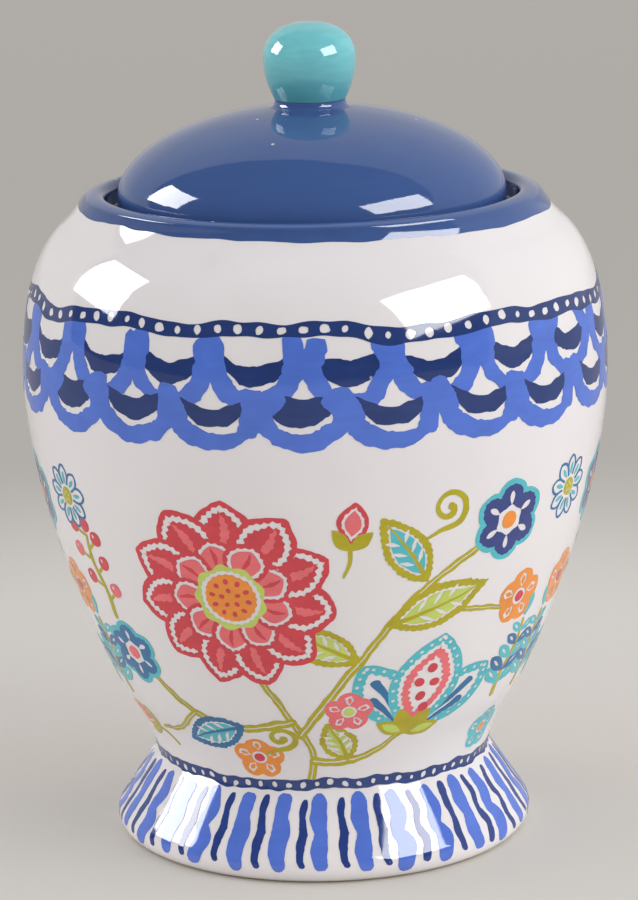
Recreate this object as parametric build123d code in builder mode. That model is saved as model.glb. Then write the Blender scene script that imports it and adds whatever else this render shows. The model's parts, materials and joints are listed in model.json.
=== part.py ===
from build123d import *
import os
from math import acos, atan2, cos, degrees, hypot, radians, sin, tan

# A lidded storage canister in glazed earthenware: a round jar on a flared foot, with a domed lid.
# The lid drops into a recess inside the rim and rests on a ledge, the gallery. A plug below the seat
# keeps it from sliding, and a soft ring in a groove round the plug closes the throat of the jar.
# All sizes are in millimetres. +Z is up, and the origin is the centre of the circle the foot stands on.

# Foot of the jar
foot_radius = 68.5
foot_edge_round = 5.4
foot_height = 27.4
foot_ring_width = 6.0
foot_ring_round = 1.5
base_recess_depth = 4.0
base_recess_round = 2.5

# Side of the jar. The waist is the sharp crease above the foot. Angles lean outwards from upright,
# and each pull says how far the curve holds its direction before it bends away.
waist_radius = 54.8
cove_reach = 8.7
cove_rise = 19.8
cove_angle = 34.0
belly_radius = 95.0
belly_rise = 126.6
flank_pull = 14.9
belly_pull_below = 38.3
belly_pull_above = 38.8
shoulder_pull = 3.7

# Rim of the jar, and the gallery that carries the lid. The rim is a rolled bead: a shallow hollow, the
# neck, runs round the shoulder below it, and its crest turns in sharply to the recess.
jar_rise = 185.8
rim_radius = 69.3
rim_outer_round = 7.0
rim_inner_round = 2.8
bead_angle = 32.0
neck_reach = 11.1
neck_drop = 9.6
gallery_depth = 7.2
gallery_width = 8.0
gallery_thickness = 6.0
gallery_slope = 6.0
gallery_edge_round = 1.5
gallery_root_round = 6.0
recess_corner_round = 0.8

# Walls of the jar
jar_wall = 5.5
floor_thickness = 6.0
floor_corner_round = 6.0

# Lid
lid_gap = 3.8
lid_edge_height = 6.2
lid_edge_round = 1.2
lid_wall = 5.0
lid_inside_round = 2.0
dome_rise = 27.9
crown_pull = 37.6
edge_pull = 12.9

# Plug under the lid, with a groove for the soft ring
plug_gap = 1.8
plug_depth = 12.0
plug_wall = 4.6
plug_end_round = 1.4
groove_drop = 3.0
groove_height = 5.0
groove_depth = 1.8
seal_gap = 0.3
fin_thickness = 1.0
fin_spread = 1.5

# Boss on the crown of the lid, and the knob that is stuck to it
boss_radius = 11.4
boss_rise = 1.9
boss_cove = 2.2
knob_radius = 14.8
knob_belly_rise = 13.9
knob_crown_rise = 10.9
knob_flare_angle = 27.0
knob_flare_pull = 4.5
knob_pull_below = 6.5
knob_pull_above = 3.2
knob_crown_pull = 12.8
knob_foot_round = 0.6


def leaning(start, angle, length):
    """The point at a length from start, in the direction that leans outwards by an angle from upright."""
    lean = radians(angle)
    return (start[0] + length * sin(lean), start[1] + length * cos(lean))


def drawn_in(point, angle, inset):
    """The point moved into the clay by an inset, square to a side that leans outwards by an angle."""
    return leaning(point, angle - 90, inset)


def corner_near(sketch, radius, height):
    """The corner of a section that lies nearest to a distance from the axis and a height."""
    return sketch.vertices().sort_by_distance((radius, height))[0]


# Heights and radii that follow from the sizes above
rim_height = foot_height + jar_rise
seat_height = rim_height - gallery_depth
shelf_height = seat_height - gallery_thickness
well_floor = base_recess_depth + floor_thickness
recess_radius = rim_radius - rim_inner_round
throat_radius = recess_radius - gallery_width
foot_ring_inner = foot_radius - foot_edge_round - foot_ring_width

# Points of the jar's section, each as a distance from the axis and a height
foot_round_centre = (foot_radius - foot_edge_round, foot_edge_round)
waist = (waist_radius, foot_height)
cove_top = (waist_radius + cove_reach, foot_height + cove_rise)
belly = (belly_radius, foot_height + belly_rise)
neck = (rim_radius + neck_reach, rim_height - neck_drop)
rim_outer_centre = (rim_radius, rim_height - rim_outer_round)
rim_inner_centre = (rim_radius, rim_height - rim_inner_round)
bead_top = drawn_in(rim_outer_centre, -bead_angle, -rim_outer_round)

# The foot's flank is the straight line from the waist that just touches the round of the bottom edge
flank_reach = hypot(waist[0] - foot_round_centre[0], waist[1] - foot_round_centre[1])
flank_bearing = atan2(waist[1] - foot_round_centre[1], waist[0] - foot_round_centre[0])
foot_turn = degrees(flank_bearing - acos(foot_edge_round / flank_reach))
foot_lean = -foot_turn

# An arc turns evenly, so the cove meets the waist as far to one side of its chord as it leaves the other
cove_foot_angle = 2 * degrees(atan2(cove_reach, cove_rise)) - cove_angle

# The neck's hollow is an arc too. The side leans in by neck_angle where the hollow starts.
neck_angle = 2 * degrees(atan2(neck[0] - bead_top[0], bead_top[1] - neck[1])) - bead_angle


def side_curves(inset):
    """The side of the jar from the waist to the neck, as outside, or drawn in by a wall."""
    cove_start = drawn_in(waist, cove_foot_angle, inset)
    cove_end = drawn_in(cove_top, cove_angle, inset)
    belly_point = drawn_in(belly, 0, inset)
    shoulder_end = drawn_in(neck, -neck_angle, inset)
    TangentArc(cove_start, cove_end, tangent=leaning((0, 0), cove_foot_angle, 1))
    Bezier(
        cove_end,
        leaning(cove_end, cove_angle, flank_pull),
        leaning(belly_point, 180, belly_pull_below),
        belly_point,
    )
    Bezier(
        belly_point,
        leaning(belly_point, 0, belly_pull_above),
        leaning(shoulder_end, 180 - neck_angle, shoulder_pull),
        shoulder_end,
    )
    return shoulder_end


# Outline of the jar with nothing cut out of it
with BuildSketch(Plane.XZ) as jar_outline:
    with BuildLine():
        Line((0, 0), (foot_round_centre[0], 0))
        foot_edge = CenterArc(foot_round_centre, foot_edge_round, -90, 90 + foot_turn)
        Line(foot_edge @ 1, waist)
        side_curves(0)
        TangentArc(neck, bead_top, tangent=leaning((0, 0), -neck_angle, 1))
        CenterArc(rim_outer_centre, rim_outer_round, bead_angle, 90 - bead_angle)
        rim_inside = CenterArc(rim_inner_centre, rim_inner_round, 90, 90)
        Polyline(rim_inside @ 1, (0, rim_inner_centre[1]), (0, 0))
    make_face()

# The well inside follows the outside, one wall in, down into the foot. The gallery is left standing in it.
well_waist = drawn_in(waist, foot_lean, jar_wall)
well_floor_radius = well_waist[0] + (well_waist[1] - well_floor) * tan(radians(-foot_lean))
shelf_drop = (belly_radius - throat_radius) * tan(radians(gallery_slope))

with BuildSketch(Plane.XZ) as jar_well:
    with BuildLine():
        Polyline((0, well_floor), (well_floor_radius, well_floor), well_waist)
        CenterArc(waist, jar_wall, 180 - foot_lean, foot_lean - cove_foot_angle)
        shoulder_end = side_curves(jar_wall)
        Polyline(shoulder_end, (shoulder_end[0], rim_height), (0, rim_height), (0, well_floor))
    make_face()
    with BuildLine():
        Polyline(
            (0, shelf_height),
            (throat_radius, shelf_height),
            (belly_radius, shelf_height - shelf_drop),
            (belly_radius, rim_height),
            (0, rim_height),
            close=True,
        )
    make_face(mode=Mode.SUBTRACT)
    fillet(corner_near(jar_well, well_floor_radius, well_floor), radius=floor_corner_round)
    fillet(corner_near(jar_well, belly_radius, shelf_height), radius=gallery_root_round)

with BuildPart() as jar_body:
    with BuildSketch(Plane.XZ) as jar_section:
        add(jar_outline.sketch_local)
        add(jar_well.sketch_local, mode=Mode.SUBTRACT)
        with Locations((0, shelf_height)):
            Rectangle(throat_radius, gallery_thickness, align=(Align.MIN, Align.MIN), mode=Mode.SUBTRACT)
        with Locations((0, seat_height)):
            Rectangle(recess_radius, gallery_depth, align=(Align.MIN, Align.MIN), mode=Mode.SUBTRACT)
        Rectangle(foot_ring_inner, base_recess_depth, align=(Align.MIN, Align.MIN), mode=Mode.SUBTRACT)
        fillet(corner_near(jar_section, throat_radius, seat_height), radius=gallery_edge_round)
        fillet(corner_near(jar_section, throat_radius, shelf_height), radius=gallery_edge_round)
        fillet(corner_near(jar_section, recess_radius, seat_height), radius=recess_corner_round)
        fillet(corner_near(jar_section, foot_ring_inner, 0), radius=foot_ring_round)
        fillet(corner_near(jar_section, foot_ring_inner, base_recess_depth), radius=base_recess_round)
    revolve(axis=Axis.Z)
jar_body.part.label = "jar_body"

# Lid: a shallow dome of even wall, an upright edge that stands in the recess, and the plug below it
lid_radius = recess_radius - lid_gap
edge_top = seat_height + lid_edge_height
dome_top = edge_top + dome_rise
boss_top = dome_top + boss_rise
plug_radius = throat_radius - plug_gap
plug_bore = plug_radius - plug_wall
plug_bottom = seat_height - plug_depth
groove_floor = plug_radius - groove_depth
groove_bottom = seat_height - groove_drop - groove_height


def dome_curve(inset, edge_height):
    """The dome in section, from the axis out and down to its edge, as outside or drawn in by a wall."""
    crown = (0, dome_top - inset)
    edge = (lid_radius - inset, edge_height)
    Bezier(crown, (crown_pull, crown[1]), leaning(edge, 0, edge_pull), edge)
    return edge


with BuildSketch(Plane.XZ) as lid_hollow:
    with BuildLine():
        hollow_edge = dome_curve(lid_wall, seat_height + lid_wall)
        Polyline(
            hollow_edge,
            (plug_bore, hollow_edge[1]),
            (plug_bore, plug_bottom),
            (0, plug_bottom),
            (0, dome_top - lid_wall),
        )
    make_face()
    fillet(corner_near(lid_hollow, *hollow_edge), radius=lid_inside_round)
    fillet(corner_near(lid_hollow, plug_bore, hollow_edge[1]), radius=lid_inside_round)

with BuildPart() as lid_dome:
    with BuildSketch(Plane.XZ) as lid_section:
        with BuildLine():
            dome_edge = dome_curve(0, edge_top)
            Polyline(
                dome_edge,
                (lid_radius, seat_height),
                (plug_radius, seat_height),
                (plug_radius, plug_bottom),
                (0, plug_bottom),
                (0, dome_top),
            )
        make_face()
        with Locations((0, edge_top)):
            Rectangle(boss_radius, boss_top - edge_top, align=(Align.MIN, Align.MIN))
        fillet(corner_near(lid_section, boss_radius, dome_top), radius=boss_cove)
        add(lid_hollow.sketch_local, mode=Mode.SUBTRACT)
        with Locations((groove_floor, groove_bottom)):
            Rectangle(groove_depth, groove_height, align=(Align.MIN, Align.MIN), mode=Mode.SUBTRACT)
        fillet(corner_near(lid_section, lid_radius, seat_height), radius=lid_edge_round)
        fillet(corner_near(lid_section, plug_radius, plug_bottom), radius=plug_end_round)
        fillet(corner_near(lid_section, plug_bore, plug_bottom), radius=plug_end_round)
    revolve(axis=Axis.Z)
lid_dome.part.label = "lid_dome"

# Knob: a squat ball that narrows to the boss, one solid piece of clay
knob_foot = (boss_radius, boss_top)
knob_side = (knob_radius, boss_top + knob_belly_rise)
knob_crown = (0, knob_side[1] + knob_crown_rise)

with BuildPart() as lid_knob:
    with BuildSketch(Plane.XZ) as knob_section:
        with BuildLine():
            Line((0, boss_top), knob_foot)
            Bezier(
                knob_foot,
                leaning(knob_foot, knob_flare_angle, knob_flare_pull),
                leaning(knob_side, 180, knob_pull_below),
                knob_side,
            )
            Bezier(
                knob_side,
                leaning(knob_side, 0, knob_pull_above),
                (knob_crown_pull, knob_crown[1]),
                knob_crown,
            )
            Line(knob_crown, (0, boss_top))
        make_face()
        fillet(corner_near(knob_section, *knob_foot), radius=knob_foot_round)
    revolve(axis=Axis.Z)
lid_knob.part.label = "lid_knob"

# Soft ring: its back fills the groove, and two fins reach out and droop towards the throat's wall
seal_radius = throat_radius - seal_gap

with BuildPart() as lid_seal:
    with BuildSketch(Plane.XZ) as seal_section:
        with Locations((groove_floor, groove_bottom)):
            Rectangle(groove_depth, groove_height, align=(Align.MIN, Align.MIN))
        for fin_foot in (groove_bottom, groove_bottom + groove_height - fin_thickness):
            with BuildLine():
                Polyline(
                    (plug_radius, fin_foot),
                    (seal_radius, fin_foot + fin_spread),
                    (seal_radius, fin_foot + fin_spread + fin_thickness / 2),
                    (plug_radius, fin_foot + fin_thickness),
                    close=True,
                )
            make_face()
    revolve(axis=Axis.Z)
lid_seal.part.label = "lid_seal"

os.makedirs("parts", exist_ok=True)
for piece in (jar_body, lid_dome, lid_knob, lid_seal):
    export_step(piece.part, f"parts/{piece.part.label}.step")
    print(piece.part.label, round(piece.part.volume), piece.part.is_valid, len(piece.part.solids()))
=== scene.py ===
# %% [markdown]
# # A painted canister with a lid
# The real object is white earthenware: a jar on a flared foot, a domed lid that drops into the rim,
# and a ball knob. Colour is brushed on by hand and covered with a clear, shiny glaze.
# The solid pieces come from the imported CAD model. This script gives them their glazes, paints the
# jar, and sets the light and the camera.

# %% Load the fixed frame
import json
import math
import random

import bpy
import numpy as np
from mathutils import Matrix, Quaternion, Vector, noise
from mathutils.geometry import delaunay_2d_cdt

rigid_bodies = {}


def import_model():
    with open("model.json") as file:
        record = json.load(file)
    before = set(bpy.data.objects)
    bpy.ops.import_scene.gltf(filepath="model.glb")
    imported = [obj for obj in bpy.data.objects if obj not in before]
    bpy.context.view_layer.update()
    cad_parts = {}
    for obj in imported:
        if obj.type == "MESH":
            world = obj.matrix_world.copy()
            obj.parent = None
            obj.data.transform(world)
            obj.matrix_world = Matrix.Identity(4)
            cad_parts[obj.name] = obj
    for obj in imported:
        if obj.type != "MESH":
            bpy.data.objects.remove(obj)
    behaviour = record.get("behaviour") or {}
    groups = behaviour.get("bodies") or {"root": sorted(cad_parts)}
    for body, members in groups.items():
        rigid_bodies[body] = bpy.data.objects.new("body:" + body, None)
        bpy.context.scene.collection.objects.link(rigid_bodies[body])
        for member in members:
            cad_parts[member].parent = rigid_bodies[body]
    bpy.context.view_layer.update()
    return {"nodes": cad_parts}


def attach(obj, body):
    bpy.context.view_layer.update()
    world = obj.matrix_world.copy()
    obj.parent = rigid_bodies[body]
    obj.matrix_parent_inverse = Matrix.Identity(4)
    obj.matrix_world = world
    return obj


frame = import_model()

MM = 0.001
nodes = frame["nodes"]

# %% [markdown]
# ## The jar's outline
# Paint has to follow the jar's skin exactly, so the script needs the skin as a rule and not as a
# picture of it. A potter's template gives one: half of the jar's outline, drawn as radius and height.
# It repeats the CAD part's own sizes, in millimetres, and its own curves: a straight foot, a cove
# above the waist, two Bezier curves for the belly, the hollow of the neck and the rolled rim.

# %% Draw the outline from the named sizes
foot_round_centre, foot_round = (63.1, 5.4), 5.4
foot_turn = 33.9
waist = (54.8, 27.4)
cove_top, cove_lean = (63.5, 47.2), 34.0
flank_pull, belly_pull_below = 14.9, 38.3
belly = (95.0, 154.0)
belly_pull_above, shoulder_pull = 38.8, 3.7
neck = (80.4, 203.6)
rim_centre, rim_round, bead_angle = (69.3, 206.2), 7.0, 32.0
lip_centre, lip_round = (69.3, 210.4), 2.8
recess_depth_painted = 2.2


def turned(angle):
    """The direction of an angle in degrees, as radius and height."""
    return np.array([math.cos(math.radians(angle)), math.sin(math.radians(angle))])


def arc(centre, radius, start, end, count):
    """Points along a round, from one angle to another."""
    return [np.array(centre) + radius * turned(a) for a in np.linspace(start, end, count)]


def bezier(a, b, c, d, count=160):
    """Points along a cubic Bezier curve."""
    a, b, c, d = (np.array(p, float) for p in (a, b, c, d))
    steps = np.linspace(0, 1, count)
    return [(1 - t) ** 3 * a + 3 * (1 - t) ** 2 * t * b + 3 * (1 - t) * t * t * c + t ** 3 * d for t in steps]


def cove(start, end, end_lean, count=30):
    """The arc between two points that ends at a known lean from upright."""
    start, end = np.array(start, float), np.array(end, float)
    span = end - start
    start_lean = 2 * math.degrees(math.atan2(span[0], span[1])) - end_lean
    radius = np.hypot(*span) / (2 * math.sin(math.radians(end_lean - start_lean) / 2))
    centre = end - radius * turned(180 - end_lean)
    return arc(centre, radius, 180 - start_lean, 180 - end_lean, count)


bead_top = np.array(rim_centre) + rim_round * turned(bead_angle)
neck_lean = 2 * math.degrees(math.atan2(neck[0] - bead_top[0], bead_top[1] - neck[1])) - bead_angle
foot_edge = arc(foot_round_centre, foot_round, -90, foot_turn, 24)
# The straight flank has many points, because its direction is blended with the crease's at the last one
sections = [
    foot_edge,
    list(np.linspace(foot_edge[-1], waist, 60)),
    cove(waist, cove_top, cove_lean),
    bezier(cove_top, np.array(cove_top) + flank_pull * turned(90 - cove_lean),
           (belly[0], belly[1] - belly_pull_below), belly),
    bezier(belly, (belly[0], belly[1] + belly_pull_above),
           np.array(neck) + shoulder_pull * turned(neck_lean - 90), neck),
    cove(neck, bead_top, -bead_angle, count=16),
    arc(rim_centre, rim_round, bead_angle, 90, 24),
    arc(lip_centre, lip_round, 90, 180, 24),
    [np.array([lip_centre[0] - lip_round, lip_centre[1] - recess_depth_painted])],
]
outline = sections[0]
for section in sections[1:]:
    outline = outline + [p for p in section if np.hypot(*(p - outline[-1])) > 0.01]
outline = np.array(outline)
along = np.concatenate([[0], np.cumsum(np.hypot(*np.diff(outline, axis=0).T))])
print("outline:", len(outline), "points,", round(float(along[-1]), 1), "mm long")


def skin(v):
    """Radius and height of the jar's skin, v millimetres up along its outline."""
    return float(np.interp(v, along, outline[:, 0])), float(np.interp(v, along, outline[:, 1]))


def up_to(height):
    """How far along the outline a height on the outside of the jar is."""
    outside = along < along[-1] - lip_round * math.pi / 2 - recess_depth_painted
    return float(np.interp(height, outline[outside, 1], along[outside]))


jar_points = np.array([v.co for v in nodes["jar_body"].data.vertices]) / MM
reach = np.hypot(jar_points[:, 0], jar_points[:, 1])
lowest, highest, within = 60, 205, 2
outer = [(r, z) for r, z in zip(reach, jar_points[:, 2])
         if lowest < z < highest and r > skin(up_to(z))[0] - within]
gaps = [abs(r - skin(up_to(z))[0]) for r, z in outer]
print("outline against the CAD jar: at most", round(float(max(gaps)), 3), "mm apart")

# %% [markdown]
# ## The camera
# The photograph was taken from a little above, with a long lens that keeps the jar's sides nearly
# parallel. Distance, height and a slight tilt were fitted to the jar's outline in the photograph.
# The shift only moves the picture in its frame.

# %% Place the camera
PHOTO_WIDTH, PHOTO_HEIGHT = 638, 900
camera_distance = 1.232
camera_elevation = math.radians(12.97)
camera_tilt = math.radians(-1.13)
look_at = Vector((0, 0, 0.130))
pixels_per_radian = 3762.5
pivot_in_photo = (316.8, 438.8)


def put_up(name, data):
    """An object in the scene that shows some data."""
    made = bpy.data.objects.new(name, data)
    bpy.context.scene.collection.objects.link(made)
    return made


camera_data = bpy.data.cameras.new("camera")
camera_data.sensor_width = 36.0
camera_data.lens = pixels_per_radian * camera_data.sensor_width / PHOTO_HEIGHT
camera_data.shift_x = (PHOTO_WIDTH / 2 - pivot_in_photo[0]) / PHOTO_HEIGHT
camera_data.shift_y = (pivot_in_photo[1] - PHOTO_HEIGHT / 2) / PHOTO_HEIGHT
camera = put_up("camera", camera_data)
back = Vector((0, -math.cos(camera_elevation), math.sin(camera_elevation)))
camera.location = look_at + camera_distance * back
camera.rotation_mode = "QUATERNION"
level = (-back).to_track_quat("-Z", "Y").to_matrix()
camera.rotation_quaternion = (level @ Matrix.Rotation(camera_tilt, 3, "Z")).to_quaternion()
bpy.context.scene.camera = camera
print("lens", round(camera_data.lens, 1), "mm")

# %% [markdown]
# ## The table and the light
# The photograph is a plain studio picture: a pale table that runs back without an edge, two oblong
# softboxes, and a paper backdrop that shows only as a paler reflection in the lid. A wide flat floor
# makes the seamless table. Its grey changes with distance, which is painted light and shade: lighter
# near the jar, darker farther back. Each softbox is two lamps in one place: one washes the jar with soft
# light, and one shows only in reflections, as the crisp white window that makes glaze look wet.

# %% Small helpers for shader nodes
def rgb(red, green, blue):
    """A colour written as it looks on the screen, 0 to 255, for a shader, which wants linear light."""
    linear = []
    for part in (red, green, blue):
        c = part / 255
        linear.append(c / 12.92 if c <= 0.04045 else ((c + 0.055) / 1.055) ** 2.4)
    return (*linear, 1.0)


def add(tree, kind, at=(0, 0), links=None, **values):
    """Adds one node. values set its own options, and links its sockets, each to a socket or a value."""
    node = tree.nodes.new(kind)
    node.location = at
    for name, value in values.items():
        setattr(node, name, value)
    for socket, source in (links or {}).items():
        target = node.inputs[socket]
        if isinstance(source, bpy.types.NodeSocket):
            tree.links.new(source, target)
        else:
            target.default_value = source
    return node


def maths(tree, operation, *sources):
    """One sum on numbers or sockets."""
    return add(tree, "ShaderNodeMath", links=dict(enumerate(sources)), operation=operation).outputs[0]


def vector_maths(tree, operation, first, second=None):
    """One sum on vectors. A length or a dot product comes out as a number."""
    links = {0: first}
    if second is not None:
        links["Scale" if operation == "SCALE" else 1] = second
    outputs = add(tree, "ShaderNodeVectorMath", links=links, operation=operation).outputs
    return outputs["Value" if operation in ("LENGTH", "DOT_PRODUCT") else "Vector"]


def blend_colours(tree, factor, first, second):
    """Mixes two colours by a mask."""
    return add(tree, "ShaderNodeMix", links={0: factor, 6: first, 7: second}, data_type="RGBA").outputs[2]


def clouds(tree, place, scale, detail=2.0, roughness=0.5):
    """Soft noise around 0.5."""
    return add(tree, "ShaderNodeTexNoise", links={
        "Vector": place, "Scale": scale, "Detail": detail, "Roughness": roughness}).outputs["Fac"]


def ramp(tree, source, low, high, from_value=0.0, to_value=1.0):
    """Turns a value between low and high into a soft step."""
    return add(tree, "ShaderNodeMapRange", links={0: source, 1: low, 2: high, 3: from_value, 4: to_value},
               interpolation_type="SMOOTHSTEP").outputs[0]


def blank_material(name):
    """A new material with its nodes cleared, and its output node."""
    material = bpy.data.materials.new(name)
    material.use_nodes = True
    material.node_tree.nodes.clear()
    return material, add(material.node_tree, "ShaderNodeOutputMaterial", (900, 0))


# %% Make the table
table_reach, spokes = 9.0, 96
table_rings = [0.2, 0.5, 1, 2, 4, table_reach]
# Painted light and shade: the table's grey is lighter near the jar and darker farther back.
table_near_painted_light, table_middle_painted_shade, table_far_painted_shade = rgb(221, 218, 213), rgb(189, 186, 181), rgb(196, 193, 188)
near_fade, far_fade = (0.26, 0.56), (0.6, 2.6)
points, faces = [(0, 0, 0)], [(0, 1 + k, 1 + (k + 1) % spokes) for k in range(spokes)]
for ring in table_rings:
    points += [(*ring * turned(360 * k / spokes), 0) for k in range(spokes)]
for a in range(1, 1 + spokes * (len(table_rings) - 1), spokes):
    b = a + spokes
    faces += [(a + k, b + k, b + (k + 1) % spokes, a + (k + 1) % spokes) for k in range(spokes)]
mesh = bpy.data.meshes.new("table")
mesh.from_pydata(points, [], faces)
table = put_up("table", mesh)
paper, output = blank_material("table_paper")
tree = paper.node_tree
distance = vector_maths(tree, "LENGTH", add(tree, "ShaderNodeTexCoord").outputs["Object"])
farther = blend_colours(tree, ramp(tree, distance, *far_fade), table_middle_painted_shade, table_far_painted_shade)
surface = add(tree, "ShaderNodeBsdfPrincipled", (600, 0), links={
    "Base Color": blend_colours(tree, ramp(tree, distance, *near_fade), table_near_painted_light, farther),
    "Roughness": 0.85, "Specular IOR Level": 0.1})
tree.links.new(surface.outputs[0], output.inputs[0])
mesh.materials.append(paper)
print("table reaches", table_reach, "m")

# %% [markdown]
# The world has two jobs. For matt light it is an even grey that brightens to both sides, like the
# white walls of a studio, which throw light back onto the flanks of whatever stands between them, and
# that dims overhead. In reflections it is a dark studio with the paper backdrop standing behind the
# jar: a plane whose top edge is `backdrop_rise` times as high as it is far away, turned a little to
# the right.

# %% Light the world
backdrop_azimuth, backdrop_rise, edge_blur = math.radians(160), 2.47, 0.03
backdrop_glow, studio_dark = (0.60, 0.59, 0.57, 1), (0.05, 0.05, 0.055, 1)
ambient_grey = (0.68, 0.672, 0.668)
wall_left, wall_right, wall_start = 1.9, 2.6, 0.55
ceiling, ceiling_start = 0.75, 0.3
horizon = rgb(172, 169, 164)

world = bpy.data.worlds.new("studio")
bpy.context.scene.world = world
world.use_nodes = True
tree = world.node_tree
tree.nodes.clear()
direction = add(tree, "ShaderNodeTexCoord").outputs["Generated"]
backdrop = (math.sin(backdrop_azimuth) * backdrop_rise, -math.cos(backdrop_azimuth) * backdrop_rise, -1)
behind = ramp(tree, vector_maths(tree, "DOT_PRODUCT", direction, backdrop), -edge_blur, edge_blur)
reflected = blend_colours(tree, behind, studio_dark, backdrop_glow)
sideways, _, upward = add(tree, "ShaderNodeSeparateXYZ", links={0: direction}).outputs
walls = maths(tree, "ADD", ramp(tree, sideways, wall_start, 1.0, 1.0, 1.0 + wall_right),
              ramp(tree, maths(tree, "MULTIPLY", sideways, -1), wall_start, 1.0, 0.0, wall_left))
walls = maths(tree, "MULTIPLY", walls, ramp(tree, upward, ceiling_start, 1.0, 1.0, ceiling))
matt = vector_maths(tree, "SCALE", ambient_grey, walls)
ray = add(tree, "ShaderNodeLightPath").outputs
shown = blend_colours(tree, ray["Is Glossy Ray"], matt, reflected)
shown = blend_colours(tree, ray["Is Camera Ray"], shown, horizon)
glow = add(tree, "ShaderNodeBackground", links={"Color": shown, "Strength": 1.0})
tree.links.new(glow.outputs[0], add(tree, "ShaderNodeOutputWorld").inputs[0])
print("backdrop's edge is", round(math.degrees(math.atan(backdrop_rise))), "degrees up at its highest")


# %% Hang the softboxes
def softbox(name, azimuth, elevation, width, height, roll, window, wash, distance=1.3):
    """An oblong lamp aimed at the jar. window is how bright it looks in glaze, wash how much it lights."""
    across, up = math.radians(azimuth), math.radians(elevation)
    away = Vector((math.sin(across) * math.cos(up), -math.cos(across) * math.cos(up), math.sin(up)))
    for kind, radiance in (("window", window), ("wash", wash)):
        lamp = bpy.data.lights.new(f"{name}_{kind}", "AREA")
        lamp.shape, lamp.size, lamp.size_y = "RECTANGLE", width, height
        lamp.energy = radiance * math.pi * width * height
        hung = put_up(lamp.name, lamp)
        hung.location = look_at + distance * away
        hung.rotation_mode = "QUATERNION"
        hung.rotation_quaternion = away.to_track_quat("Z", "Y") @ Quaternion((0, 0, 1), math.radians(roll))
        hung.visible_camera = False
        hung.visible_glossy = hung.visible_transmission = kind == "window"
        hung.visible_diffuse = kind == "wash"
    print(name, "window", window, "wash", wash)


softbox("left_softbox", azimuth=-99, elevation=27.2, width=0.66, height=0.59, roll=-2, window=14, wash=1.66)
softbox("right_softbox", azimuth=53.6, elevation=29.2, width=0.88, height=0.586, roll=8, window=12, wash=3.1)
bpy.context.scene.view_settings.view_transform = "Standard"

# %% [markdown]
# ## The glazes
# Glazed earthenware is a matt body under a thin glass skin. Up close the glass isn't perfect: it
# lies in slow waves that bend the reflection of a window, it pools a little darker here and there,
# and it has pinholes and pale specks. One shader node group gives these to every glaze, so they can
# all be tuned in one place. It puts out a colour, a roughness and a normal. The Principled shader
# stays in each material.

# %% A node group with named ends
def node_group(kind, name, inputs, outputs):
    """A new node group, its input sockets and its end. Inputs are name: (socket type, value)."""
    group = bpy.data.node_groups.new(name, kind)
    for label, (socket_kind, value) in inputs.items():
        socket = group.interface.new_socket(label, in_out="INPUT", socket_type="NodeSocket" + socket_kind)
        if value is not None:
            socket.default_value = value
    for label, socket_kind in outputs.items():
        group.interface.new_socket(label, in_out="OUTPUT", socket_type="NodeSocket" + socket_kind)
    start, end = add(group, "NodeGroupInput", (-900, 0)), add(group, "NodeGroupOutput", (900, 0))
    return group, start.outputs, end.inputs


# %% Build the shared glaze group
glaze, given, result = node_group("ShaderNodeTree", "glaze_character", {
    "Colour": ("Color", (1, 1, 1, 1)), "Pool": ("Float", 0.1), "Pool Size": ("Float", 60.0),
    "Streak": ("Float", 0.0), "Speck": ("Float", 0.4), "Speck Colour": ("Color", (0.75, 0.75, 0.75, 1)),
    "Speck Share": ("Float", 0.03), "Wave": ("Float", 0.25)},
    {"Colour": "Color", "Roughness": "Float", "Normal": "Vector"})
speck_edge, smoothest, roughest, pinhole = (0.05, 0.09), 0.035, 0.085, 0.05
place = add(glaze, "ShaderNodeTexCoord", (-900, -300)).outputs["Object"]
pooled = clouds(glaze, place, given["Pool Size"], 3.0, 0.55)
lying = add(glaze, "ShaderNodeMapping", links={"Vector": place, "Scale": (1, 1, 6)}).outputs[0]
streaks = clouds(glaze, lying, 90.0)
change = maths(glaze, "MULTIPLY", maths(glaze, "SUBTRACT", pooled, 0.5), given["Pool"])
change = maths(glaze, "MULTIPLY_ADD", maths(glaze, "SUBTRACT", streaks, 0.5), given["Streak"], change)
shade = add(glaze, "ShaderNodeHueSaturation", links={
    "Color": given["Colour"], "Value": maths(glaze, "ADD", change, 1.0)}).outputs[0]
cells = add(glaze, "ShaderNodeTexVoronoi", links={"Vector": place, "Scale": 130.0, "Randomness": 1.0}).outputs
chance = add(glaze, "ShaderNodeTexWhiteNoise", links={"Vector": cells["Position"]}).outputs["Value"]
chosen = maths(glaze, "LESS_THAN", chance, given["Speck Share"])
dot = maths(glaze, "MULTIPLY", ramp(glaze, cells["Distance"], *speck_edge, 1.0, 0.0), chosen)
speck = maths(glaze, "MULTIPLY", dot, given["Speck"])
waves = maths(glaze, "MULTIPLY_ADD", speck, pinhole, clouds(glaze, place, 32.0, 1.5, 0.35))
relief = add(glaze, "ShaderNodeBump", links={"Strength": given["Wave"], "Distance": 0.002, "Height": waves})
for name, source in (("Colour", blend_colours(glaze, speck, shade, given["Speck Colour"])),
                     ("Roughness", ramp(glaze, clouds(glaze, place, 420.0), 0.3, 0.8, smoothest, roughest)),
                     ("Normal", relief.outputs[0])):
    glaze.links.new(source, result[name])
print("glaze group has", len(glaze.nodes), "nodes")


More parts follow.
